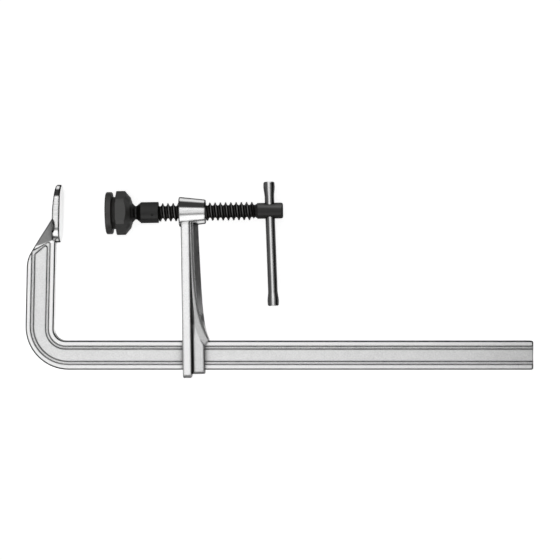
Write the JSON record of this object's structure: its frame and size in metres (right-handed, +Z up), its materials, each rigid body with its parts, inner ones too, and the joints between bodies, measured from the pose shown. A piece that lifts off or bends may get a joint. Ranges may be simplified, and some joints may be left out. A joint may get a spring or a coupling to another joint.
{
  "type": "screw clamp",
  "caption": "All-steel screw clamp: a forged bar bent up into a fixed jaw, a sliding arm with a coarse black spindle, swivel pressure pad and sliding tommy bar.",
  "frame": {"origin": "point of the fixed jaw's clamping face that is in line with the spindle", "axes": "the clamp lies on its side: +X along the rail towards its free end, +Y from the rail towards the spindle, +Z up from the surface it lies on"},
  "size_m": [0.5262, 0.2037, 0.044],
  "materials": {
    "forged_steel": "satin plated forging",
    "black_steel": "black oxide, lightly oiled",
    "plated_bar": "bright plated"
  },
  "bodies": {
    "frame": {"rail": "forged_steel"},
    "arm": {"sliding_arm": "forged_steel"},
    "tip": {"ball_stud": "black_steel", "stud_pin": "black_steel"},
    "screw": {"spindle": "black_steel"},
    "bar": {"tommy_bar": "plated_bar"},
    "pad": {"pad_nut": "black_steel", "pressure_plate": "black_steel"}
  },
  "joints": [
    {"name": "arm_slide", "type": "slide", "parent": "frame", "child": "arm", "axis": [1, 0, 0], "range_m": [-0.01, 0.334]},
    {"name": "spindle_feed", "type": "slide", "parent": "arm", "child": "tip", "axis": [-0.9999, -0.0157, 0], "range_m": [-0.0203, 0.03]},
    {"name": "spindle_turn", "type": "hinge", "parent": "tip", "child": "screw", "pos_m": [0.0922, -0.00007, 0], "axis": [-0.9999, -0.0157, 0], "range_deg": [-1344.92, 1985.65]},
    {"name": "bar_slide", "type": "slide", "parent": "screw", "child": "bar", "axis": [-0.0366, 0.9993, 0], "range_m": [-0.005, 0.072]},
    {"name": "pad_tilt", "type": "hinge", "parent": "tip", "child": "pad", "pos_m": [0.06661, -0.00047, 0], "axis": [0, 0, 1], "range_deg": [-12, 12]}
  ],
  "couplings": [
    {"joint": "spindle_turn", "follows": "spindle_feed", "rad_per_m": 1152.9}
  ]
}
